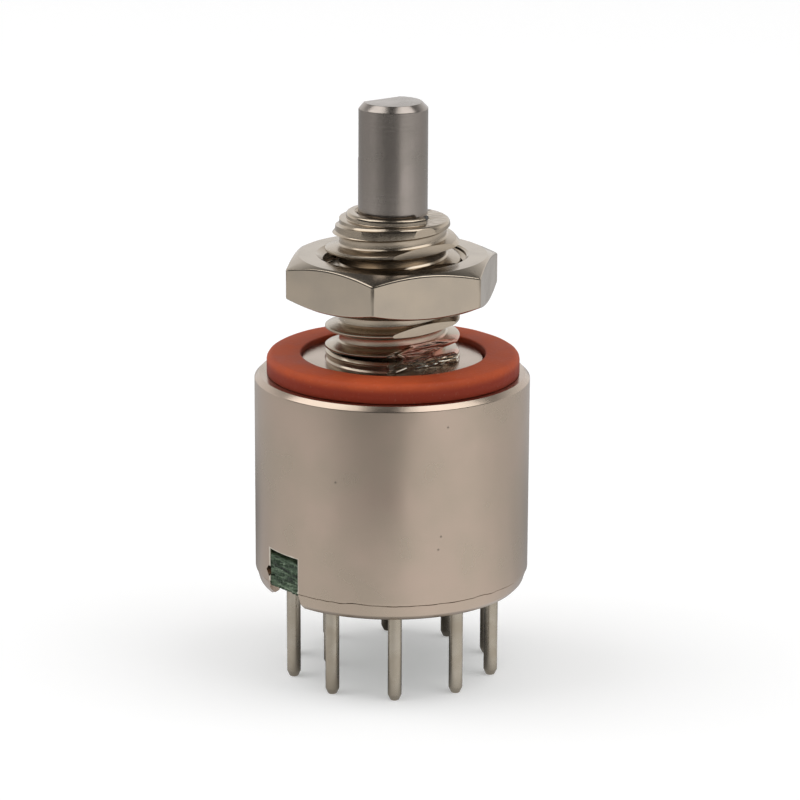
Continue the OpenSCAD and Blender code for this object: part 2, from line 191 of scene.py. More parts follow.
def ramp(tree, factor, stops, interpolation="LINEAR"):
    """A colour ramp from (position, grey or colour) stops."""
    node = add_node(tree, "ShaderNodeValToRGB", {0: factor})
    node.color_ramp.interpolation = interpolation
    elements = node.color_ramp.elements
    while len(elements) > 1:
        elements.remove(elements[-1])
    for i, (position, value) in enumerate(stops):
        element = elements[0] if i == 0 else elements.new(position)
        element.position = position
        element.color = (*value, 1) if isinstance(value, tuple) else (value, value, value, 1)
    return node.outputs[0]


def map_range(tree, value, low, high, to_low=0.0, to_high=1.0, smooth=False):
    """Value stretched from low..high to to_low..to_high, and held at the ends."""
    node = add_node(tree, "ShaderNodeMapRange", {0: value, 1: low, 2: high, 3: to_low, 4: to_high})
    node.interpolation_type = "SMOOTHSTEP" if smooth else "LINEAR"
    return node.outputs[0]


def mix_colour(tree, factor, a, b):
    """Colour a turned into colour b by factor. The Mix node's colour sockets are numbers 6 and 7."""
    node = tree.nodes.new("ShaderNodeMix")
    node.data_type = "RGBA"
    for socket, value in ((0, factor), (6, a), (7, b)):
        if isinstance(value, bpy.types.NodeSocket):
            tree.links.new(value, node.inputs[socket])
        else:
            node.inputs[socket].default_value = (*value, 1) if isinstance(value, tuple) else value
    return node.outputs[2]


# %% The table
TABLE_R = 1500.0
TABLE_GREY = 0.80
TABLE_GLOW = 0.30

bpy.ops.object.select_all(action="DESELECT")
bpy.ops.mesh.primitive_circle_add(vertices=96, radius=TABLE_R * MM, fill_type="NGON")
table = bpy.context.object
table.name = "table"
paper, tree, output = new_material("table_paper")
seen = seen_rays(tree)[1]
matt = add_node(tree, "ShaderNodeBsdfDiffuse", {"Color": (TABLE_GREY, TABLE_GREY, TABLE_GREY, 1)})
glow = add_node(tree, "ShaderNodeEmission", {"Strength": math_node(tree, "MULTIPLY", seen, TABLE_GLOW)})
lit = add_node(tree, "ShaderNodeAddShader", {0: matt.outputs[0], 1: glow.outputs[0]})
clear = add_node(tree, "ShaderNodeBsdfTransparent")
from_below = add_node(tree, "ShaderNodeNewGeometry").outputs["Backfacing"]
side = add_node(tree, "ShaderNodeMixShader", {0: from_below, 1: lit.outputs[0], 2: clear.outputs[0]})
tree.links.new(side.outputs[0], output.inputs["Surface"])
table.data.materials.append(paper)
print("table", TABLE_R * 2, "mm across")

# %% [markdown]
# ## What the metal sees
# A table is never evenly bright in a reflection. Close to the switch it is white; further
# out, where whoever holds the camera shades it, it is dimmer, with a dark streak straight
# ahead and a bright patch to the right of it. A card just over the table glows with this soft
# pattern of painted light and shade, and only reflections see it. The upright walls of the can,
# the nut and the shaft look down on it at different distances, which gives each its own bands.
# Right under the can it is dark, a painted shadow of the can, and the pins mirror that along their edges.

# %% The reflection card
CARD_R = 420.0
CARD_UP = 0.02
UNDER_CAN_LIGHT = 0.15

bpy.ops.object.select_all(action="DESELECT")
bpy.ops.mesh.primitive_circle_add(vertices=96, radius=CARD_R * MM, fill_type="NGON",
                                  location=(0, 0, CARD_UP * MM))
card = bpy.context.object
card.name = "reflection_card"
shade, tree, output = new_material("card_shade")
place = object_place(tree)
turned_place = add_node(tree, "ShaderNodeVectorRotate",
                        {"Vector": place, "Angle": math.pi / 2 - CAMERA_AZIMUTH}, rotation_type="Z_AXIS")
parts = split_axes(tree, turned_place.outputs[0])
angle = math_node(tree, "ARCTAN2", parts[1], parts[0])
bearing = map_range(tree, angle, -math.pi, math.pi)
away = add_node(tree, "ShaderNodeVectorMath", {0: place}, operation="LENGTH").outputs["Value"]


def bearing_ramp(tree, stops):
    """Brightness by bearing, in degrees from straight ahead and growing to the camera's right."""
    return ramp(tree, bearing, [((degrees + 180) / 360, value) for degrees, value in stops], "EASE")


near_light = bearing_ramp(tree, [
    (-180, 0.16), (-152, 0.24), (-119, 0.60), (-98, 0.74), (-60, 0.82), (-38, 0.78), (-20, 0.77), (0, 0.86),
    (12, 0.93), (25, 0.98), (65, 0.96), (81, 0.88), (98, 0.76), (119, 0.56), (145, 0.38), (180, 0.18)])
far_light = bearing_ramp(tree, [
    (-180, 0.45), (-152, 0.55), (-119, 0.66), (-98, 0.73), (-65, 0.80), (-51, 0.78), (-38, 0.60), (-25, 0.50),
    (-12, 0.40), (-2, 0.37), (6, 0.53), (14, 0.91), (65, 0.97), (81, 0.83), (98, 0.75), (119, 0.68),
    (150, 0.55), (180, 0.45)])
nut_light = bearing_ramp(tree, [
    (-180, 0.50), (-110, 0.72), (-82, 0.78), (-60, 0.74), (-20, 0.60), (5, 0.70), (22, 1.0), (65, 1.0),
    (100, 0.80), (180, 0.50)])
outer_light = bearing_ramp(tree, [
    (-180, 0.55), (-126, 0.42), (-92, 0.48), (-66, 0.56), (-44, 0.34), (-20, 0.17), (8, 0.19), (16, 0.34),
    (32, 0.92), (42, 1.0), (59, 0.87), (83, 0.66), (112, 0.51), (180, 0.45)])
pattern = near_light
for start, end, light in ((24, 50, far_light), (56, 64, nut_light), (90, 97, outer_light)):
    pattern = mix_colour(tree, map_range(tree, away, start * MM, end * MM, smooth=True), pattern, light)
# Painted shadow: right under the can the card glows dimmer.
under_can = map_range(tree, away, 3.0 * MM, 7.5 * MM, UNDER_CAN_LIGHT, 1.0, smooth=True)
card_glow = add_node(tree, "ShaderNodeEmission", {"Color": pattern, "Strength": under_can})
tree.links.new(card_glow.outputs[0], output.inputs["Surface"])
card.data.materials.append(shade)
for ray in ("camera", "diffuse", "transmission", "volume_scatter", "shadow"):
    setattr(card, f"visible_{ray}", False)
print("card", CARD_R * 2, "mm across")

# %% [markdown]
# ## Plain studio light
# Two large lamps hang left and right of the switch, above it, and the world fills in evenly.
# Together they light a surface at about the level at which its colour is written. To glossy
# rays the room has a white back wall, a dark ceiling and a dark side where the camera stands,
# so that a rim or a thread that looks up shows the two lamps as two bright patches with a
# dark one between them, and every rounded edge gets a thin dark line beside its bright one.

# %% World and lamps
WORLD_LEVEL = 0.50
CEILING_GREY = 0.08
CAMERA_SIDE_GREY = 0.04
LAMP_AWAY = 600.0
LAMP_SIZE = 420.0
LAMP_RADIANCE = 2.0

world = bpy.data.worlds.new("studio")
bpy.context.scene.world = world
world.use_nodes = True
tree = world.node_tree
tree.nodes.clear()
output = tree.nodes.new("ShaderNodeOutputWorld")
is_glossy, seen = seen_rays(tree)
even = add_node(tree, "ShaderNodeBackground", {"Color": (1, 1, 1, 1), "Strength": WORLD_LEVEL})
direction = add_node(tree, "ShaderNodeTexCoord").outputs["Generated"]
height = split_axes(tree, direction)[2]
walls = ramp(tree, height, [(0.0, 1.0), (0.40, 0.95), (0.62, 0.35), (0.80, CEILING_GREY)])
ahead = add_node(tree, "ShaderNodeVectorMath", {0: direction, 1: toward_camera}, operation="DOT_PRODUCT")
camera_side = map_range(tree, ahead.outputs["Value"], -0.40, 0.0, smooth=True)
walls = mix_colour(tree, camera_side, walls, (CAMERA_SIDE_GREY,) * 3)
glossy_light = mix_colour(tree, is_glossy, (1.0, 1.0, 1.0), walls)
room = add_node(tree, "ShaderNodeBackground", {"Color": glossy_light, "Strength": 1.0})
choice = add_node(tree, "ShaderNodeMixShader", {0: seen, 1: even.outputs[0], 2: room.outputs[0]})
tree.links.new(choice.outputs[0], output.inputs["Surface"])


def add_lamp(name, bearing, elevation):
    """A square lamp that looks at the middle of the switch. Bearings grow to the camera's right."""
    turned = CAMERA_AZIMUTH + math.radians(bearing)
    tilt = math.radians(elevation)
    middle = Vector((0, 0, (LIP_Z + TIP_Z) / 2))
    back = Vector((math.sin(turned) * math.cos(tilt), -math.cos(turned) * math.cos(tilt), math.sin(tilt)))
    bpy.ops.object.light_add(type="AREA", location=(middle + back * LAMP_AWAY) * MM)
    lamp = bpy.context.object
    lamp.name = name
    lamp.rotation_euler = back.to_track_quat("Z", "Y").to_euler()
    lamp.data.size = LAMP_SIZE * MM
    lamp.data.energy = LAMP_RADIANCE * math.pi * (LAMP_SIZE * MM) ** 2
    return lamp


for lamp in (add_lamp("left_lamp", -90, 56), add_lamp("right_lamp", 75, 60)):
    print(lamp.name, round(lamp.data.energy, 2), "W")

# %% [markdown]
# ## How the pieces are made
# Nearly every piece here was turned, so the main tool is a half section, drawn as an open line
# one extrusion at a time and then spun round the shaft's axis. Sharp corners are softened in
# the section itself, which gives every rim the small bright line that real metal has.

# %% Drawing and turning
TURN_STEPS = 160


def deselect_all():
    bpy.ops.object.select_all(action="DESELECT")


def edit_all():
    """Edit mode, with everything selected."""
    bpy.ops.object.mode_set(mode="EDIT")
    bpy.ops.mesh.select_all(action="SELECT")


def leave_edit():
    bpy.ops.object.mode_set(mode="OBJECT")


def soften(corners, steps=4):
    """Points of a section whose corners are (radius, height) or (radius, height, rounding)."""
    points = []
    count = len(corners)
    for i, corner in enumerate(corners):
        here = Vector(corner[:2])
        rounding = corner[2] if len(corner) > 2 else 0
        if not rounding:
            points.append(here)
            continue
        before = Vector(corners[i - 1][:2]) - here
        after = Vector(corners[(i + 1) % count][:2]) - here
        half = before.angle(after) / 2
        reach = rounding / math.tan(half)
        start, end = here + before.normalized() * reach, here + after.normalized() * reach
        centre = here + (before.normalized() + after.normalized()).normalized() * (rounding / math.sin(half))
        a, b = start - centre, end - centre
        sweep = a.angle(b)
        for k in range(steps + 1):
            t = k / steps
            arm = (a * math.sin((1 - t) * sweep) + b * math.sin(t * sweep)) / math.sin(sweep)
            points.append(centre + arm)
    return points


def draw_section(name, points, closed=True):
    """An edge line through the points, in the plane of the X and Z axes."""
    deselect_all()
    bpy.ops.mesh.primitive_plane_add(size=1)
    line = bpy.context.object
    line.name = line.data.name = name
    edit_all()
    bpy.ops.mesh.select_mode(type="VERT")
    bpy.ops.mesh.select_all(action="SELECT")
    bpy.ops.mesh.merge(type="CENTER")
    bpy.ops.transform.translate(value=(points[0][0], 0, points[0][1]))
    route = list(points[1:]) + ([points[0]] if closed else [])
    last = points[0]
    for point in route:
        step = (point[0] - last[0], 0, point[1] - last[1])
        bpy.ops.mesh.extrude_region_move(TRANSFORM_OT_translate={"value": step})
        last = point
    bpy.ops.mesh.select_all(action="SELECT")
    bpy.ops.mesh.remove_doubles(threshold=1e-5)
    leave_edit()
    return line


def turned(name, corners, steps=TURN_STEPS, closed=True):
    """A turned piece: its half section, drawn, spun once round the shaft's axis and closed."""
    piece = draw_section(name, soften(corners), closed)
    edit_all()
    bpy.ops.mesh.spin(steps=steps, angle=2 * math.pi, center=(0, 0, 0), axis=(0, 0, 1))
    bpy.ops.mesh.select_all(action="SELECT")
    bpy.ops.mesh.remove_doubles(threshold=1e-4)
    bpy.ops.mesh.normals_make_consistent(inside=False)
    leave_edit()
    return piece


# %% Modifiers, cuts and the last steps
def make_active(piece):
    deselect_all()
    piece.select_set(True)
    bpy.context.view_layer.objects.active = piece


def apply_modifier(piece, kind, **settings):
    """Adds one modifier, sets it and applies it."""
    make_active(piece)
    modifier = piece.modifiers.new(kind.lower(), kind)
    for key, value in settings.items():
        setattr(modifier, key, value)
    bpy.ops.object.modifier_apply(modifier=modifier.name)


def pick(piece, kind, chosen):
    """Enters edit mode with only the faces, edges or points selected that the test picks."""
    make_active(piece)
    bpy.ops.object.mode_set(mode="EDIT")
    bpy.ops.mesh.select_mode(type=kind)
    bpy.ops.mesh.select_all(action="DESELECT")
    leave_edit()
    kinds = {"FACE": piece.data.polygons, "EDGE": piece.data.edges, "VERT": piece.data.vertices}
    parts = kinds[kind]
    for part in parts:
        part.select = chosen(part)
    bpy.ops.object.mode_set(mode="EDIT")


def mark_outline_sharp(piece, chosen):
    """Keeps the shading of the faces that the test picks apart from what lies round them."""
    pick(piece, "FACE", chosen)
    bpy.ops.mesh.region_to_loop()
    bpy.ops.mesh.mark_sharp()
    leave_edit()


def combine(piece, tool, operation):
    """Boolean of two closed pieces. The tool is used up."""
    apply_modifier(piece, "BOOLEAN", operation=operation, object=tool, solver="EXACT")
    bpy.data.objects.remove(tool)


def add_block(name, low, high):
    """A box between two corners."""
    deselect_all()
    bpy.ops.mesh.primitive_cube_add(size=1)
    block = bpy.context.object
    block.name = block.data.name = name
    low, high = Vector(low), Vector(high)
    block.scale = high - low
    block.location = (low + high) / 2
    bpy.ops.object.transform_apply(location=True, rotation=False, scale=True)
    return block


def settle(piece, turn=None):
    """Puts a piece's place, turn and size into its mesh. turn sets its degrees round Z first."""
    if turn is not None:
        piece.rotation_euler.z = math.radians(turn)
    make_active(piece)
    bpy.ops.object.transform_apply(location=True, rotation=True, scale=True)


def copy_round(piece, step, steps):
    """A copy with a mesh of its own, turned by some steps of a full circle."""
    make_active(piece)
    bpy.ops.object.duplicate(linked=False)
    copy = bpy.context.object
    settle(copy, -360 / steps * step)
    return copy


def group_points(piece, name, chosen):
    """A vertex group of the points that the test picks, in millimetres."""
    group = piece.vertex_groups.new(name=name)
    group.add([v.index for v in piece.data.vertices if chosen(v.co)], 1.0, "REPLACE")
    return group.name


def displace(piece, name, size, strength, depth=2, middle=0.5, **settings):
    """Moves points by soft noise. size is the width of its clouds in millimetres."""
    texture = bpy.data.textures.new(name, "CLOUDS")
    texture.noise_scale = size
    texture.noise_depth = depth
    apply_modifier(piece, "DISPLACE", texture=texture, texture_coords="LOCAL", mid_level=middle,
                   strength=strength, **settings)


def finish_piece(piece, body, material, smooth_angle=32.0):
    """Makes a piece small, shades it, gives it its finish and puts it on its body."""
    piece.scale = (MM, MM, MM)
    settle(piece)
    bpy.ops.object.shade_smooth_by_angle(angle=math.radians(smooth_angle))
    piece.data.materials.clear()
    piece.data.materials.append(material)
    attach(piece, body)
    print(f"{piece.name}: {len(piece.data.polygons)} faces")

# %% [markdown]
# ## Finishes as node groups
# Plated metal is never one flat colour: the plate has faint clouds, its gloss changes from
# place to place and a few pits break it. Turned metal has fine rings from the tool as well,
# and drawn bar and wire have fine streaks along them. Each effect is used on several pieces,
# so each is a group with named values, built once and placed in each material with its own
# numbers.

# %% A group and its sockets
def new_group(name, inputs, outputs):
    """A shader node group with the named inputs (kind, default) and outputs (kind)."""
    group = bpy.data.node_groups.new(name, "ShaderNodeTree")
    for label, (kind, default) in inputs.items():
        group.interface.new_socket(label, in_out="INPUT", socket_type=kind).default_value = default
    for label, kind in outputs.items():
        group.interface.new_socket(label, in_out="OUTPUT", socket_type=kind)
    entry, exit_node = group.nodes.new("NodeGroupInput"), group.nodes.new("NodeGroupOutput")
    return group, entry.outputs, exit_node.inputs


def noise(tree, vector, scale, detail=3.0, roughness=0.5, distortion=0.0):
    """The grey output of a Noise Texture."""
    return add_node(tree, "ShaderNodeTexNoise", {
        "Vector": vector, "Scale": scale, "Detail": detail, "Roughness": roughness,
        "Distortion": distortion}).outputs["Fac"]


def place_group(tree, group, values):
    """A group placed in a material with its own values. Returns its outputs."""
    node = tree.nodes.new("ShaderNodeGroup")
    node.node_tree = group
    for key, value in values.items():
        if isinstance(value, bpy.types.NodeSocket):
            tree.links.new(value, node.inputs[key])
        else:
            node.inputs[key].default_value = (*value, 1) if isinstance(value, tuple) else value
    return node.outputs


FLOAT, COLOUR = "NodeSocketFloat", "NodeSocketColor"

# %% Clouded plate
plate_group, given, result = new_group(
    "clouded_plate",
    {"Base": (COLOUR, (0.5, 0.5, 0.5, 1)), "Cloud": (COLOUR, (0.5, 0.45, 0.4, 1)), "Cloud Size": (FLOAT, 3.0),
     "Gloss Low": (FLOAT, 0.2), "Gloss High": (FLOAT, 0.3), "Pits": (FLOAT, 0.5)},
    {"Color": COLOUR, "Roughness": FLOAT, "Height": FLOAT})
tree = plate_group
place = object_place(tree)
cloud_scale = math_node(tree, "DIVIDE", 1 / MM, given["Cloud Size"])
clouds = map_range(tree, noise(tree, place, cloud_scale, 4.0, 0.55), 0.35, 0.65)
grain = noise(tree, place, 9 / MM, 3.0)
cells = add_node(tree, "ShaderNodeTexVoronoi", {"Vector": place, "Scale": 1.3 / MM, "Randomness": 1.0})
pit = map_range(tree, cells.outputs["Distance"], 0.05, 0.09, 1.0, 0.0)
cell_number = add_node(tree, "ShaderNodeSeparateColor", {0: cells.outputs["Color"]}).outputs[0]
rare = map_range(tree, cell_number, 0.80, 0.82)
pits = product(tree, pit, rare, given["Pits"])
tone = mix_colour(tree, clouds, given["Base"], given["Cloud"])
darker = mix_colour(tree, pits, tone, (0.05, 0.04, 0.035))
tree.links.new(darker, result["Color"])
gloss = map_range(tree, clouds, 0.0, 1.0, given["Gloss Low"], given["Gloss High"])
tree.links.new(gloss, result["Roughness"])
level = math_node(tree, "SUBTRACT", math_node(tree, "MULTIPLY", grain, 0.04), pits)
tree.links.new(level, result["Height"])
print("group", plate_group.name, len(tree.nodes), "nodes")

# %% Turned rings
rings_group, given, result = new_group(
    "turned_rings",
    {"Spacing": (FLOAT, 0.08), "Waver": (FLOAT, 0.0875)},
    {"Height": FLOAT})
tree = rings_group
axes = split_axes(tree, object_place(tree))
around = add_node(tree, "ShaderNodeCombineXYZ", {0: axes[0], 1: axes[1]}).outputs[0]
out = add_node(tree, "ShaderNodeVectorMath", {0: around}, operation="LENGTH").outputs["Value"]
along = math_node(tree, "ADD", axes[2], out)
rings_at = math_node(tree, "DIVIDE", math_node(tree, "DIVIDE", along, MM), given["Spacing"])
drift = [product(tree, axes[k], 1 / MM, given["Waver"]) for k in (0, 1)]
track = add_node(tree, "ShaderNodeCombineXYZ", {0: drift[0], 1: drift[1], 2: rings_at}).outputs[0]
tree.links.new(noise(tree, track, 1.0, 2.0, 0.6), result["Height"])
print("group", rings_group.name, len(tree.nodes), "nodes")

# %% Drawn streaks
streaks_group, given, result = new_group(
    "drawn_streaks",
    {"Width": (FLOAT, 0.12)},
    {"Height": FLOAT})
tree = streaks_group
drawn = stretched(tree, object_place(tree), 1 / MM, 0.04 / MM)
width_scale = math_node(tree, "DIVIDE", 1.0, given["Width"])
tree.links.new(noise(tree, drawn, width_scale, 3.0, 0.6), result["Height"])
print("group", streaks_group.name, len(tree.nodes), "nodes")

# %% [markdown]
# ## Metal finishes
# One function makes each metal from the three groups. The colour of a metal is the tint of
# what it mirrors, so nickel is a warm grey near the middle of the scale, and the white room
# does the rest. Rings, streaks and clouds go into the height of a bump, in real millimetres.
# On the torn foot of the flat, a mask turns the colour to copper, a painted reflection of the
# orange ring below it, and round the punched notch another one paints a lighter band as a highlight.

# %% Metals
def principled(name, **constants):
    """A material with one Principled shader, with its constants set on the shader itself."""
    material, tree, output = new_material(name)
    shader = add_node(tree, "ShaderNodeBsdfPrincipled")
    for label, value in constants.items():
        shader.inputs[label.replace("_", " ")].default_value = value
    tree.links.new(shader.outputs[0], output.inputs["Surface"])
    return material, tree, shader.inputs


def link_bump(tree, shader, height_mm, depth_mm):
    """Feeds a height, in parts of depth_mm, to the shader's normal."""
    bump = add_node(tree, "ShaderNodeBump", {"Height": height_mm, "Distance": depth_mm * MM, "Strength": 1.0})
    tree.links.new(bump.outputs[0], shader["Normal"])


def metal(name, base, cloud, cloud_size=3.0, gloss=(0.20, 0.30), pits=0.5, depth=0.004,
          rings=None, streaks=None, marks=()):
    """A metal. rings and streaks are (spacing in mm, height), and marks are (mask function, colour)."""
    material, tree, shader = principled(name, Metallic=1.0)
    plate = place_group(tree, plate_group, {"Base": base, "Cloud": cloud, "Cloud Size": cloud_size,
                                            "Gloss Low": gloss[0], "Gloss High": gloss[1], "Pits": pits})
    colour = plate["Color"]
    for mask, tint in marks:
        colour = mix_colour(tree, mask(tree), colour, tint)
    tree.links.new(colour, shader["Base Color"])
    tree.links.new(plate["Roughness"], shader["Roughness"])
    height = plate["Height"]
    if rings:
        turned_height = place_group(tree, rings_group, {"Spacing": rings[0], "Waver": 0.0875})["Height"]
        height = math_node(tree, "ADD", height, math_node(tree, "MULTIPLY", turned_height, rings[1]))
    if streaks:
        drawn_height = place_group(tree, streaks_group, {"Width": streaks[0]})["Height"]
        height = math_node(tree, "ADD", height, math_node(tree, "MULTIPLY", drawn_height, streaks[1]))
    link_bump(tree, shader, height, depth)
    return material


# A greener tint for the bushing, painted against the brown of its reflections between the threads.
GREENER_PLATE = (0.468, 0.394, 0.308)
# Copper for the torn foot: a painted reflection of the orange ring below it.
RING_REFLECTION_COPPER = (0.60, 0.37, 0.29)
# Painted glint: a lighter tone for the torn plate just over the boss.
TORN_PLATE_GLINT = (0.68, 0.63, 0.54)
# Painted highlight: a lighter band along the notch's edge.
NOTCH_HIGHLIGHT_TONE = (0.70, 0.64, 0.55)


def over_boss(tree):
    """1 on the bushing, whose plate is painted a little greener than the can's, against the brown that its
    reflections between the threads take on.
    """
    height = split_axes(tree, object_place(tree))[2]
    return map_range(tree, height, (BOSS_Z + 0.03) * MM, (BOSS_Z + 0.09) * MM)


def flat_between(tree, place, rise, fall, smooth=False):
    """1 on the bushing's flat, from a rise to a fall that are given in millimetres over the boss."""
    axes = split_axes(tree, place)
    on_flat = map_range(tree, axes[0], 1.9 * MM, 2.2 * MM, smooth=True)
    zones = [map_range(tree, axes[2], (BOSS_Z + start) * MM, (BOSS_Z + end) * MM, smooth=smooth)
             for start, end in (rise, fall)]
    return product(tree, on_flat, *zones)


def torn_foot(tree):
    """1 on the foot of the bushing's flat, in patches, where the cutter ran out and the copper of a painted
    reflection of the orange ring goes.
    """
    place = object_place(tree)
    drawn = stretched(tree, place, 0.7 / MM, 4.0 / MM)
    patches = map_range(tree, noise(tree, drawn, 1.0, 3.0, 0.6), 0.28, 0.46)
    off_edge = map_range(tree, split_axes(tree, place)[1], -1.45 * MM, -1.20 * MM, smooth=True)
    return product(tree, flat_between(tree, place, (0.25, 0.43), (1.43, 1.18), True), patches, off_edge)


def mottled_foot(tree):
    """1 in small patches just over the boss, where the torn plate gets painted glints."""
    place = object_place(tree)
    patches = map_range(tree, noise(tree, place, 3.2 / MM, 3.0, 0.6), 0.46, 0.56)
    return product(tree, flat_between(tree, place, (0.01, 0.05), (0.43, 0.28)), patches)


def notch_edge(tree):
    """1 on a narrow band round the notch, which is painted lighter as a highlight along its edge."""
    place = object_place(tree)
    axes = split_axes(tree, place)
    beside = math_node(tree, "SUBTRACT", math_node(tree, "ABSOLUTE", axes[0]), NOTCH_W / 2 * MM)
    above = math_node(tree, "SUBTRACT", axes[2], NOTCH_Z * MM)
    outside = math_node(tree, "MAXIMUM", beside, above)
    ragged = math_node(tree, "MULTIPLY", noise(tree, place, 1.6 / MM, 3.0), 0.16 * MM)
    band = map_range(tree, math_node(tree, "ADD", outside, ragged), 0.17 * MM, 0.12 * MM)
    this_side = map_range(tree, axes[1], -5.0 * MM, -5.5 * MM)
    wall = map_range(tree, axes[2], (LIP_Z + 0.75) * MM, (LIP_Z + 0.85) * MM)
    return product(tree, band, this_side, wall)


nickel = metal("satin_nickel", (0.492, 0.391, 0.318), (0.468, 0.386, 0.308), 2.6, (0.20, 0.28), 0.5, 0.003,
               marks=((over_boss, GREENER_PLATE), (torn_foot, RING_REFLECTION_COPPER), (mottled_foot, TORN_PLATE_GLINT),
                      (notch_edge, NOTCH_HIGHLIGHT_TONE)))
nut_nickel = metal("bright_nickel", (0.455, 0.385, 0.305), (0.430, 0.370, 0.300), 1.8, (0.16, 0.24), 0.3,
                   0.003, streaks=(0.14, 0.35))
steel = metal("turned_steel", (0.365, 0.322, 0.292), (0.335, 0.300, 0.268), 1.6, (0.20, 0.28), 0.3, 0.004,
              rings=(0.10, 0.9))
tin = metal("dull_tin", (0.42, 0.375, 0.31), (0.38, 0.33, 0.26), 0.9, (0.22, 0.34), 0.2, 0.004,
            streaks=(0.10, 0.35))
print("metals:", nickel.name, nut_nickel.name, steel.name, tin.name)

# %% [markdown]
# ## The can
# The can is turned from one bar with its bushing, and its upper edge is chamfered. Its lower
# rim is rolled in under the base, which leaves a fine crack with a wandering edge all the way
# round, and one notch is cut through the rim for the base's key. It is spun from one closed
# section, and the edge of the step is then made to wander by a displacement that acts on that
# ring alone.

# %% The can, turned
WALL = 0.45
ROOF_Z = FACE_Z - 1.3
BOSS_R = 4.2
CORE_R = 2.3
FACE_CHAMFER = 0.22
STEP_Z = LIP_Z + 0.80
STEP_IN = 0.045
CRACK = 0.08
LIP_R = CAN_R - 0.45
LIP_T = 0.30

can = turned("can", [
    (CORE_R, ROOF_Z), (CORE_R, BOSS_Z), (BOSS_R, BOSS_Z, 0.06), (BOSS_R, FACE_Z, 0.05),
    (CAN_R - FACE_CHAMFER, FACE_Z, 0.03), (CAN_R, FACE_Z - FACE_CHAMFER, 0.05),
    (CAN_R, STEP_Z + 0.03, 0.012), (CAN_R - CRACK, STEP_Z + 0.02), (CAN_R - CRACK, STEP_Z - 0.01),
    (CAN_R - STEP_IN, STEP_Z - 0.02, 0.01),
    (CAN_R - 0.20, LIP_Z + 0.26, 0.3), (LIP_R, LIP_Z, 0.12), (LIP_R - LIP_T, LIP_Z + 0.10, 0.1),
    (CAN_R - WALL, STEP_Z + 0.15, 0.1), (CAN_R - WALL, ROOF_Z, 0.1)], steps=240)
print("can:", len(can.data.vertices), "vertices")

# %% [markdown]
# The edge of the rolled step was pressed, not cut, so it wanders up and down by some
# hundredths of a millimetre. A cloud texture moves that ring of points, and only along the
# height, so the wall above stays true.

# %% The wandering edge of the rolled step
EDGE_WANDER = 0.16
EDGE_SWELL = 1.1

edge = group_points(can, "step_edge",
                    lambda p: abs(p.z - STEP_Z) < 0.06 and math.hypot(p.x, p.y) > CAN_R - 0.06)
displace(can, "edge_wander", EDGE_SWELL, EDGE_WANDER, direction="Z", vertex_group=edge)
print("step edge wanders by", EDGE_WANDER / 2, "mm either way")

# %% [markdown]
# ## The thread
# The bushing carries a quarter-inch thread with 28 turns to the inch. Its section for one
# pitch is drawn as a line, and a Screw modifier carries it up and round. The screw's open
# ends are cut off flat and filled, and what is left is a closed rod, which is then trimmed to
# the bushing's outline, bored for the shaft and milled flat on one side.

# %% The thread as a closed rod
PITCH = 0.907
THREAD_START = FACE_Z + 1.596
THREAD_R = 3.1
THREAD_ROOT = 2.44
SCREW_STEPS = 96


def screw_rod(name, root, crest, low, high):
    """A closed threaded rod between two levels. A crest passes the X axis at THREAD_START."""
    turns_below = math.ceil((THREAD_START - low) / PITCH) + 2
    foot = THREAD_START - (turns_below + 0.5) * PITCH
    turns = math.ceil((high - foot) / PITCH) + 2
    depth = crest - root
    flank = ((0.0, 0.0), (0.03, 0.16), (0.14, 0.25), (0.80, 0.385), (0.93, 0.415), (0.99, 0.45), (1.0, 0.48))
    tooth = [(root + rise * depth, share) for rise, share in flank]
    tooth += [(r, 1 - share) for r, share in reversed(tooth)]
    rod = draw_section(name, [Vector((r, foot + share * PITCH)) for r, share in tooth], closed=False)
    apply_modifier(rod, "SCREW", angle=2 * math.pi, screw_offset=PITCH, iterations=turns, steps=SCREW_STEPS,
                   render_steps=SCREW_STEPS, use_merge_vertices=True, merge_threshold=1e-4, axis="Z")
    edit_all()
    bpy.ops.mesh.remove_doubles(threshold=1e-3)
    for level, upward in ((low, -1), (high, 1)):
        bpy.ops.mesh.select_all(action="SELECT")
        bpy.ops.mesh.bisect(plane_co=(0, 0, level), plane_no=(0, 0, upward), use_fill=True, clear_outer=True)
    bpy.ops.mesh.select_all(action="SELECT")
    bpy.ops.mesh.normals_make_consistent(inside=False)
    leave_edit()
    return rod


ROD_FOOT = ROOF_Z - 0.05
bushing = screw_rod("bushing", THREAD_ROOT, THREAD_R, ROD_FOOT, BUSHING_Z + 0.5)
print("thread rod:", len(bushing.data.polygons), "faces")

# %% Trimmed to the bushing's outline and bored
NOSE_R = 2.6
NOSE_H = 0.85
COLLAR_R = 2.14
COLLAR_H = 0.32
BAND_R = 3.05
BAND_H = 0.45
BORE_R = 1.63
MOUTH_R = 1.74
SHOULDER_Z = BUSHING_Z - COLLAR_H

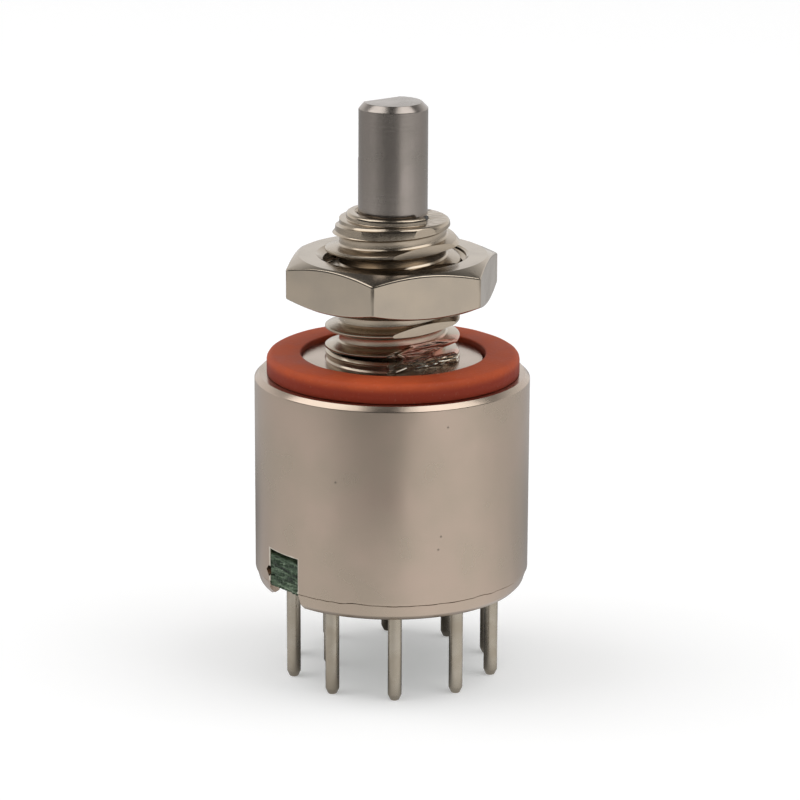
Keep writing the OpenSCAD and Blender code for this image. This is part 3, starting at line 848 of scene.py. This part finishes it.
outline = turned("outline", [
    (0, ROD_FOOT - 1), (CORE_R + 0.06, ROD_FOOT - 1), (CORE_R + 0.06, BOSS_Z + 0.1),
    (THREAD_R + 0.02, BOSS_Z + 0.1), (THREAD_R + 0.02, BUSHING_Z - NOSE_H - 0.6),
    (NOSE_R + 0.04, BUSHING_Z - NOSE_H, 0.04),
    (NOSE_R, SHOULDER_Z, 0.19), (COLLAR_R, SHOULDER_Z + 0.02, 0.04), (COLLAR_R, BUSHING_Z, 0.15),
    (0, BUSHING_Z)], closed=False)
combine(bushing, outline, "INTERSECT")
band = turned("band", [
    (CORE_R, BOSS_Z - 0.1), (BAND_R + 0.06, BOSS_Z - 0.1), (BAND_R + 0.06, BOSS_Z + 0.02, 0.02),
    (BAND_R - 0.02, BOSS_Z + 0.10, 0.02), (BAND_R - 0.02, BOSS_Z + 0.28, 0.02),
    (BAND_R + 0.04, BOSS_Z + 0.32, 0.02), (BAND_R + 0.04, BOSS_Z + BAND_H - 0.07, 0.02),
    (BAND_R - 0.08, BOSS_Z + BAND_H + 0.05),
    (CORE_R, BOSS_Z + BAND_H + 0.05)])
combine(bushing, band, "UNION")
bore = turned("bore", [
    (0, ROD_FOOT - 2), (BORE_R, ROD_FOOT - 2), (BORE_R, BUSHING_Z - 0.14, 0.02),
    (MOUTH_R, BUSHING_Z - 0.02, 0.02), (MOUTH_R, BUSHING_Z + 1), (0, BUSHING_Z + 1)], closed=False)
combine(bushing, bore, "DIFFERENCE")
print("bushing:", len(bushing.data.polygons), "faces")

# %% [markdown]
# ## The broken collar
# A thin collar stands round the bushing's mouth, and a quarter of it has broken away on one
# side, down to a rough shoulder. The tool for this is a sector of a ring, turned through part
# of a circle and closed at both ends, with a rough skin that the cut copies.

# %% The broken collar
BREAK_FROM = 7
BREAK_TO = 96
BREAK_ROUGH = 0.09
CHIP_IN = BORE_R - 0.2
CHIP_OUT = NOSE_R - 0.1

chip = draw_section("chip", [(CHIP_IN, SHOULDER_Z), (CHIP_OUT, SHOULDER_Z), (CHIP_OUT, BUSHING_Z + 0.4),
                             (CHIP_IN, BUSHING_Z + 0.4)])
edit_all()
bpy.ops.mesh.spin(steps=30, angle=math.radians(BREAK_TO - BREAK_FROM), center=(0, 0, 0), axis=(0, 0, -1))
bpy.ops.mesh.select_all(action="SELECT")
bpy.ops.mesh.remove_doubles(threshold=1e-4)
bpy.ops.mesh.fill_holes(sides=8)
bpy.ops.mesh.select_all(action="SELECT")
bpy.ops.mesh.normals_make_consistent(inside=False)
bpy.ops.mesh.subdivide(number_cuts=3)
leave_edit()
settle(chip, BREAK_FROM)
displace(chip, "break_rough", 0.28, BREAK_ROUGH, 3)
combine(bushing, chip, "DIFFERENCE")
print("bushing with its broken collar:", len(bushing.data.polygons), "faces")

# %% [markdown]
# ## The flat and its torn face
# A flat is milled down one side of the thread so that the switch can't turn in its panel. The
# cutter left the crests as leaf-shaped lands with crisp edges. At the foot, where it ran out,
# it tore and smeared the metal. The tool for the foot has that surface: one face of a block is
# divided finely and pushed in and out while the block is short, and then the block is
# stretched, so that the marks run along the cut, which copies them into the metal.

# %% The milled flat
FLAT_X = 2.56
FLAT_TURN = -3
FOOT_X = 2.40
FOOT_TOP = BOSS_Z + 1.2
MOTTLE_TOP = BOSS_Z + 0.38
MILL_CUTS = 60
STRETCH = 3.5

mill = add_block("mill", (FLAT_X, -4.0, FOOT_TOP - 0.02), (5.0, 4.0, BUSHING_Z + 1))
settle(mill, FLAT_TURN)
combine(bushing, mill, "DIFFERENCE")

foot_mill = add_block("foot_mill", (FOOT_X, -4.0 / STRETCH, BOSS_Z - 0.03), (5.0, 4.0 / STRETCH, FOOT_TOP))
pick(foot_mill, "FACE", lambda face: face.normal.x < -0.9)
bpy.ops.mesh.subdivide(number_cuts=MILL_CUTS)
leave_edit()
for name, size, strength, low, high in (("tear", 0.20, 0.10, MOTTLE_TOP, FOOT_TOP - 0.03),
                                        ("mottle", 0.11, 0.17, BOSS_Z + 0.02, MOTTLE_TOP)):
    rows = group_points(foot_mill, name, lambda p: p.x < FOOT_X + 0.3 and low < p.z < high)
    displace(foot_mill, name, size, strength, 3, direction="X", vertex_group=rows)
foot_mill.scale.y = STRETCH
settle(foot_mill, FLAT_TURN)
combine(bushing, foot_mill, "DIFFERENCE")
print("bushing with its flat:", len(bushing.data.polygons), "faces")

# %% [markdown]
# The cutter also left slivers of metal standing in a zigzag along the edge of the torn foot.
# Each stroke is a slim cone laid on the flat and joined on.

# %% Burrs along the flat
BURR = 0.075
BURR_X = FOOT_X + 0.04


def add_burr(start, end):
    """A sliver between two places, each given as (along the flat, over the boss)."""
    start, end = (Vector((BURR_X, along, BOSS_Z + over)) for along, over in (start, end))
    way = end - start
    deselect_all()
    bpy.ops.mesh.primitive_cone_add(vertices=10, radius1=BURR, radius2=BURR * 0.7,
                                    depth=way.length + BURR, location=(start + end) / 2,
                                    rotation=way.to_track_quat("Z", "Y").to_euler())
    burr = bpy.context.object
    settle(burr, FLAT_TURN)
    combine(bushing, burr, "UNION")


for start, end in (((-0.78, 1.04), (-1.58, 0.84)), ((-1.58, 0.84), (-1.20, 0.65)),
                   ((-1.20, 0.65), (-1.63, 0.35)), ((-1.15, 0.14), (-1.66, 0.05))):
    add_burr(start, end)
print("bushing with its burrs:", len(bushing.data.polygons), "faces")

# %% [markdown]
# ## The notch
# The notch goes through the rolled rim and the wall above it, and its outer edges are eased.
# The wall gets a ring of edges just over it first, so that the eased edge's shading ends there.
# On one side of it the cut end of the rim has sprung out and up a little, because nothing
# holds it there. Points near that end are moved together, with an influence that fades out, as
# soft metal bends.

# %% The notch and the sprung end of the rim
NOTCH_EASE = 0.07
RINGS = (STEP_Z + 0.16, NOTCH_Z + 0.15)
BITE = 0.20
BITE_DEPTH = 0.34
BITE_ASIDE = 0.08
BITE_UP = 1.38
SPRUNG = (-0.02, -0.16, 0.26)
SPRUNG_REACH = 0.75


def edge_ends(piece, side):
    """The two end points of an edge."""
    return [piece.data.vertices[i].co for i in side.vertices]


make_active(can)
for level in RINGS:
    edit_all()
    bpy.ops.mesh.bisect(plane_co=(0, 0, level), plane_no=(0, 0, 1))
    leave_edit()
slot_tool = add_block("slot_tool", (-NOTCH_W / 2, -CAN_R - 1, LIP_Z - 1),
                      (NOTCH_W / 2, -CAN_R + 1.6, NOTCH_Z))
combine(can, slot_tool, "DIFFERENCE")
bite = add_block("bite", (-BITE, -1.0, -BITE), (BITE, BITE_DEPTH, BITE))
bite.rotation_euler.y = math.radians(45)
bite.location = (-NOTCH_W / 2 - BITE_ASIDE, -CAN_R, LIP_Z + BITE_UP)
settle(bite)
combine(can, bite, "DIFFERENCE")


def on_notch_edge(point):
    """True on the outer edge of the notch, above the step."""
    outside = math.hypot(point.x, point.y) > CAN_R - 0.01 and point.y < 0 and point.z > STEP_Z + 0.15
    at_side = abs(abs(point.x) - NOTCH_W / 2) < 0.002 and point.z < NOTCH_Z + 0.002
    at_top = abs(point.z - NOTCH_Z) < 0.002 and abs(point.x) < NOTCH_W / 2 + 0.002
    return outside and (at_side or at_top)


pick(can, "EDGE", lambda side: all(on_notch_edge(point) for point in edge_ends(can, side)))
bpy.ops.mesh.bevel(offset=NOTCH_EASE, segments=3, affect="EDGES")
leave_edit()
pick(can, "VERT", lambda v: abs(v.co.x + NOTCH_W / 2) < 0.01 and v.co.y < 0 and v.co.z < LIP_Z + 0.25)
bpy.ops.transform.translate(value=SPRUNG, use_proportional_edit=True, proportional_edit_falloff="SMOOTH",
                            proportional_size=SPRUNG_REACH, use_proportional_connected=True)
leave_edit()
combine(can, bushing, "UNION")
can.name = can.data.name = "housing_shell"
edit_all()
bpy.ops.mesh.remove_doubles(threshold=0.002)
leave_edit()
flat_way = Vector((math.cos(math.radians(FLAT_TURN)), math.sin(math.radians(FLAT_TURN)), 0))


def on_land(face):
    """True on the lands that the flat leaves on the crests."""
    straight = face.normal.dot(flat_way) > 0.999
    return straight and abs(face.center.dot(flat_way) - FLAT_X) < 0.002 and face.center.z > FOOT_TOP


mark_outline_sharp(can, on_land)
print("housing:", len(can.data.polygons), "faces")
finish_piece(can, "switch_body", nickel)
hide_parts("housing")

# %% [markdown]
# ## The nut
# A nut is a hexagonal bar with both ends turned to a cone, which is what draws the arcs on its
# faces. The bar is a six-sided cylinder with its corners eased by a bevel; the cone comes from
# an intersection with a turned outline. Inside, the thread's crests stay just outside those of
# the bushing, so the nut can travel.

# %% Nut
NUT_AF = 8.94
NUT_TURN = 12
NUT_CHAMFER = math.radians(25)
NUT_CORNER_EASE = 0.10
NUT_ARC_EASE = 0.06
NUT_RIM = 0.14
NUT_CREST = 3.20
NUT_GROOVE = 3.42
NUT_SINK = 0.30

nut_z0, nut_z1 = nut_low.z, nut_high.z
flat_r = NUT_AF / 2
corner_r = flat_r / math.cos(math.radians(30))
deselect_all()
bpy.ops.mesh.primitive_cylinder_add(vertices=6, radius=corner_r, depth=nut_z1 - nut_z0 + 1,
                                    location=(0, 0, (nut_z0 + nut_z1) / 2),
                                    rotation=(0, 0, math.radians(NUT_TURN - 30)))
nut = bpy.context.object
nut.name = nut.data.name = "panel_nut"
settle(nut)
pick(nut, "EDGE", lambda side: abs(edge_ends(nut, side)[0].z - edge_ends(nut, side)[1].z) > 1)
bpy.ops.mesh.bevel(offset=NUT_CORNER_EASE, segments=3, affect="EDGES")
leave_edit()
drop = (corner_r - flat_r) * math.tan(NUT_CHAMFER)
nut_outline = turned("nut_outline", [
    (0, nut_z0), (flat_r - NUT_RIM, nut_z0, 0.04),
    (corner_r + 0.3, nut_z0 + drop + (0.3 + NUT_RIM) * math.tan(NUT_CHAMFER)),
    (corner_r + 0.3, nut_z1 - drop - (0.3 + NUT_RIM) * math.tan(NUT_CHAMFER)),
    (flat_r - NUT_RIM, nut_z1, 0.04), (0, nut_z1)], closed=False)
combine(nut, nut_outline, "INTERSECT")
combine(nut, screw_rod("nut_thread", NUT_CREST, NUT_GROOVE, nut_z0 - 0.5, nut_z1 + 0.5), "DIFFERENCE")
nut_sinks = turned("nut_sinks", [
    (0, nut_z0 - 1), (NUT_CREST + NUT_SINK, nut_z0 - 1), (NUT_CREST + NUT_SINK, nut_z0, 0.02),
    (NUT_CREST - 0.1, nut_z0 + NUT_SINK), (NUT_CREST - 0.1, nut_z1 - NUT_SINK),
    (NUT_CREST + NUT_SINK, nut_z1, 0.02), (NUT_CREST + NUT_SINK, nut_z1 + 1), (0, nut_z1 + 1)], closed=False)
combine(nut, nut_sinks, "DIFFERENCE")


def on_arc(point):
    """True where a flat side of the nut meets one of its two cones."""
    bearings = [math.radians(NUT_TURN + 30 + 60 * k) for k in range(6)]
    reach = max(point.x * math.cos(a) + point.y * math.sin(a) for a in bearings)
    cone_drop = (math.hypot(point.x, point.y) - flat_r + NUT_RIM) * math.tan(NUT_CHAMFER)
    depth = min(nut_z1 - point.z, point.z - nut_z0)
    return reach > flat_r - 0.03 and abs(depth - cone_drop) < 0.004


pick(nut, "EDGE", lambda side: all(on_arc(point) for point in edge_ends(nut, side))
     and abs(edge_ends(nut, side)[0].z - edge_ends(nut, side)[1].z) < 1)
print("nut arcs:", sum(side.select for side in nut.data.edges), "edges eased")
bpy.ops.mesh.bevel(offset=NUT_ARC_EASE, segments=4, affect="EDGES", clamp_overlap=False)
leave_edit()
mark_outline_sharp(nut, lambda face: abs(face.normal.z) < 0.01 and face.area > 3)
finish_piece(nut, "nut", nut_nickel, smooth_angle=25)
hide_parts("hex_nut")

# %% [markdown]
# ## The panel seal
# The orange ring is silicone, cut a little unevenly and soft at its edges. It is turned like
# the metal, and then a broad, shallow displacement takes the machine's perfection off it. Its
# finish is matt, with fine dust and faint mottling, and light goes a little way into it. Its
# side is painted darker towards its foot, as painted shade where it sits on the can.

# %% Seal
SEAL_ROUND = 0.30
SEAL_UNEVEN = 0.045
SEAL_ASIDE = 0.04

silicone, tree, shader = principled("orange_silicone", Metallic=0.0, IOR=1.35, Subsurface_Weight=0.12,
                                    Subsurface_Radius=(0.0012, 0.0005, 0.0003), Subsurface_Scale=0.6)
place = object_place(tree)
mottle = map_range(tree, noise(tree, place, 0.55 / MM, 4.0, 0.6), 0.35, 0.68)
dust = map_range(tree, noise(tree, place, 7.0 / MM, 3.0, 0.6), 0.60, 0.78)
tone = mix_colour(tree, mottle, (0.42, 0.062, 0.016), (0.52, 0.084, 0.022))
level = split_axes(tree, place)[2]
# Painted shade: the seal's side turns darker towards its foot.
painted_foot_shade = map_range(tree, level, (seal_high.z - 0.15) * MM, (seal_high.z - 0.50) * MM, smooth=True)
tone = mix_colour(tree, painted_foot_shade, tone, (0.29, 0.031, 0.010))
tone = mix_colour(tree, product(tree, dust, 0.15), tone, (0.62, 0.30, 0.20))
tree.links.new(tone, shader["Base Color"])
tree.links.new(map_range(tree, mottle, 0, 1, 0.55, 0.70), shader["Roughness"])
grain = math_node(tree, "ADD", noise(tree, place, 5.0 / MM, 4.0), product(tree, dust, 0.6))
link_bump(tree, shader, grain, 0.012)

seal = turned("seal_ring", [
    (seal_high.x - 1.575, seal_low.z, 0.05), (seal_high.x - 1.575, seal_high.z, 0.08),
    (seal_high.x, seal_high.z, SEAL_ROUND), (seal_high.x, seal_low.z, 0.07)])
seal.location = right * SEAL_ASIDE
settle(seal)
displace(seal, "seal_uneven", 2.2, SEAL_UNEVEN, 1, direction="Z")
finish_piece(seal, "switch_body", silicone, smooth_angle=50)
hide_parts("panel_seal")

# %% [markdown]
# ## The shaft
# The shaft, the detent drum at its foot, the square drive and the pivot are one bar of steel.
# Most of it is out of sight, but it turns with the same piece, so it is modelled whole: a
# turned section, a square joined on, a cross hole for the detent balls and a flat at the tip.

# %% Shaft
SHAFT_R = 3.175 / 2
TIP_CHAMFER = 0.27
GROOVE_W = 0.6
GROOVE_R = 1.15
GROOVE_TOP = BUSHING_Z - 0.1
DRUM_R = shaft_high.x
DRUM_CHAMFER = 0.2
RING_Z = ROOF_Z - 2.7
DRUM_Z0 = RING_Z - 0.15
DRUM_Z1 = ROOF_Z - 0.22
DRIVE_Z = DRUM_Z0 - 1.9
DRIVE_W = 2.0
PIVOT_R = 0.7
BALL_HOLE_R = 1.5875 / 2 + 0.04
SHAFT_FLAT = 0.79
SHAFT_FLAT_L = 2.6

shaft = turned("turning_shaft", [
    (0, shaft_low.z), (PIVOT_R, shaft_low.z, 0.1), (PIVOT_R, DRUM_Z0), (DRUM_R - DRUM_CHAMFER, DRUM_Z0),
    (DRUM_R, DRUM_Z0 + DRUM_CHAMFER), (DRUM_R, DRUM_Z1 - DRUM_CHAMFER), (DRUM_R - DRUM_CHAMFER, DRUM_Z1),
    (SHAFT_R, DRUM_Z1), (SHAFT_R, GROOVE_TOP - GROOVE_W), (GROOVE_R, GROOVE_TOP - GROOVE_W),
    (GROOVE_R, GROOVE_TOP), (SHAFT_R, GROOVE_TOP), (SHAFT_R, TIP_Z - TIP_CHAMFER, 0.04),
    (SHAFT_R - TIP_CHAMFER, TIP_Z, 0.04), (0, TIP_Z)], steps=128, closed=False)
drive = add_block("drive", (-DRIVE_W / 2, -DRIVE_W / 2, DRIVE_Z),
                  (DRIVE_W / 2, DRIVE_W / 2, DRUM_Z0 + 0.5))
combine(shaft, drive, "UNION")
deselect_all()
bpy.ops.mesh.primitive_cylinder_add(vertices=48, radius=BALL_HOLE_R, depth=3 * DRUM_R,
                                    location=(0, 0, (DRUM_Z0 + DRUM_Z1) / 2), rotation=(0, math.pi / 2, 0))
cross_hole = bpy.context.object
settle(cross_hole)
combine(shaft, cross_hole, "DIFFERENCE")
tip_mill = add_block("tip_mill", (-3, -3, TIP_Z - SHAFT_FLAT_L), (-SHAFT_FLAT, 3, TIP_Z + 1))
combine(shaft, tip_mill, "DIFFERENCE")
finish_piece(shaft, "rotor", steel)
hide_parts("shaft")

# %% [markdown]
# ## The board pins
# Ten pins stand on a circle and one stands inside it. Each is a tinned brass rod with a
# rounded tip, and has a knurled shank in the base and a contact head above. One is modelled
# whole, and the rest are copies with meshes of their own, turned round the axis.

# %% Pins
PIN_R = 0.32
SHANK_R = 0.37
HEAD_R = 0.5
HEAD_H = 0.35
POSITIONS = 10
COMMON_R = 2.85
COMMON_AT = 234
FLOOR_Z = pin_high.z - HEAD_H


def make_pin(name, away, top_corners):
    """A pin standing at a distance from the axis, on the +X side."""
    pin = turned(name, [(0, 0), (PIN_R * 0.62, 0, 0.05), (PIN_R, 0.26, 0.16), (PIN_R, LIP_Z),
                        (SHANK_R, UNDER_Z + 0.04), *top_corners], steps=40, closed=False)
    pin.location.x = away
    settle(pin)
    return pin


head = [(SHANK_R, FLOOR_Z), (HEAD_R, FLOOR_Z), (HEAD_R, FLOOR_Z + HEAD_H, 0.1), (0, FLOOR_Z + HEAD_H)]
first_pin = make_pin("pin_01", (pin_low.x + pin_high.x) / 2, head)
pins = [first_pin]
for i in range(1, POSITIONS):
    pin = copy_round(first_pin, i, POSITIONS)
    pin.name = pin.data.name = f"pin_{i + 1:02d}"
    pins.append(pin)
for i, pin in enumerate(pins):
    finish_piece(pin, "switch_body", tin)
    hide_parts(f"terminal_{i + 1:02d}")
common_pin = make_pin("common_pin", COMMON_R, [(SHANK_R, FLOOR_Z + HEAD_H), (0, FLOOR_Z + HEAD_H)])
settle(common_pin, COMMON_AT)
finish_piece(common_pin, "switch_body", tin)
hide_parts("common_terminal")
print("pins:", len(pins), "and the common pin")

# %% [markdown]
# ## The base
# The base is moulded from a green, mineral-filled resin. Its key shows in the notch, where it
# was broken off the sprue and is rough, in streaks along the moulding. The key's outer face is
# divided and pushed in and out to make those streaks as real relief.

# %% Base
INSERT_R = CAN_R - WALL - 0.03
SKIRT_R = INSERT_R - 0.4
KEY_R = CAN_R - 0.14
KEY_W = NOTCH_W - 0.06
KEY_TOP = NOTCH_Z - 0.24
BASE_EDGE_R = LIP_R - LIP_T + 0.15
PIN_DISH_R = 0.62
PIN_DISH = 0.10

resin, tree, shader = principled("green_resin", Metallic=0.0, IOR=1.5)
place = object_place(tree)
streaks = noise(tree, stretched(tree, place, 0.8 / MM, 6.0 / MM), 1.0, 5.0, 0.65, 0.6)
grains = noise(tree, place, 6.0 / MM, 4.0, 0.65)
body_tone = ramp(tree, streaks, [(0.36, (0.008, 0.015, 0.008)), (0.49, (0.040, 0.076, 0.036)),
                                 (0.58, (0.12, 0.18, 0.11)), (0.68, (0.36, 0.43, 0.31))])
tree.links.new(body_tone, shader["Base Color"])
tree.links.new(map_range(tree, grains, 0.3, 0.7, 0.35, 0.65), shader["Roughness"])
link_bump(tree, shader, math_node(tree, "ADD", streaks, product(tree, grains, 0.4)), 0.03)

base = turned("moulded_base", [
    (0, UNDER_Z), (BASE_EDGE_R, UNDER_Z, 0.04), (INSERT_R - 0.05, STEP_Z + 0.28, 0.05), (INSERT_R, RING_Z),
    (SKIRT_R, RING_Z), (SKIRT_R, FLOOR_Z), (0, FLOOR_Z)], closed=False)
key_block = add_block("key_block", (-KEY_W / 2, -KEY_R, UNDER_Z + 0.02),
                      (KEY_W / 2, -SKIRT_R + 0.15, KEY_TOP))
pick(key_block, "FACE", lambda face: face.normal.y < -0.9)
bpy.ops.mesh.subdivide(number_cuts=40)
leave_edit()
rough = group_points(key_block, "rough", lambda p: p.y < -KEY_R + 0.001 and abs(p.x) < KEY_W / 2 - 0.01)
for name, size, strength in (("key_swell", 0.5, 0.14), ("key_streaks", 0.12, 0.20)):
    displace(key_block, name, size, strength, 3, 0.42, direction="Y", vertex_group=rough)
combine(base, key_block, "UNION")

dish = turned("dish", [
    (0, UNDER_Z - 0.5), (PIN_DISH_R + 0.4, UNDER_Z - 0.5), (PIN_DISH_R - 0.1, UNDER_Z + PIN_DISH, 0.08),
    (0, UNDER_Z + PIN_DISH)], steps=32, closed=False)
dish.location.x = (pin_low.x + pin_high.x) / 2 - 0.06
settle(dish)
for i in range(POSITIONS):
    combine(base, copy_round(dish, i, POSITIONS), "DIFFERENCE")
bpy.data.objects.remove(dish)
finish_piece(base, "switch_body", resin)
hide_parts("base")

# %% [markdown]
# ## What is sealed inside
# The detent ring, balls, springs, stop and contacts keep the frame's own solids, because their
# shapes are right. They can't be seen in the closed switch, but each still gets a finish of its
# own, so that the model can be opened up.

# %% Inner finishes
def speckled(name, dark, light, size, rough, depth):
    """A dark, matt finish with fine speckles. size is their number in a millimetre."""
    material, tree, shader = principled(name, Metallic=0.0, IOR=1.5)
    speckle = noise(tree, object_place(tree), size / MM, 4.0, 0.6)
    tree.links.new(mix_colour(tree, speckle, dark, light), shader["Base Color"])
    tree.links.new(map_range(tree, speckle, 0.3, 0.7, *rough), shader["Roughness"])
    link_bump(tree, shader, speckle, depth)
    return material


rubber = speckled("black_rubber", (0.012, 0.012, 0.012), (0.035, 0.034, 0.033), 6.0, (0.45, 0.65), 0.008)
plastic = speckled("black_moulding", (0.016, 0.017, 0.019), (0.040, 0.041, 0.044), 9.0, (0.30, 0.48), 0.005)
bronze = metal("rolled_bronze", (0.60, 0.42, 0.21), (0.52, 0.36, 0.20), 1.5, (0.25, 0.38), 0.4, 0.004)
ring_steel = metal("satin_steel", (0.46, 0.45, 0.43), (0.40, 0.39, 0.37), 2.0, (0.28, 0.40), 0.3, 0.004,
                   rings=(0.12, 0.6))
wire = metal("drawn_wire", (0.50, 0.50, 0.48), (0.42, 0.42, 0.40), 0.6, (0.20, 0.30), 0.2, 0.002)
ball_steel = metal("polished_ball", (0.60, 0.60, 0.60), (0.56, 0.56, 0.56), 1.0, (0.04, 0.08), 0.1, 0.001)
silver = metal("silver_contact", (0.72, 0.70, 0.66), (0.60, 0.57, 0.50), 0.8, (0.18, 0.30), 0.3, 0.003)

INNER_FINISH = {
    "shaft_seal": rubber, "thrust_washer": bronze, "detent_ring": ring_steel, "detent_spring": wire,
    "detent_ball_front": ball_steel, "detent_ball_back": ball_steel, "stop_arm": ring_steel,
    "stop_pin": ring_steel, "contact_rotor": plastic, "contact_spring": wire,
    "sliding_contact": silver, "common_ring": silver}
for node_name, finish in INNER_FINISH.items():
    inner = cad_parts[node_name]
    inner.data.materials.clear()
    inner.data.materials.append(finish)
print("inner finishes:", len(INNER_FINISH))

# %% [markdown]
# ## The end
# Nothing is left selected when the script ends.

# %% Nothing left selected
deselect_all()
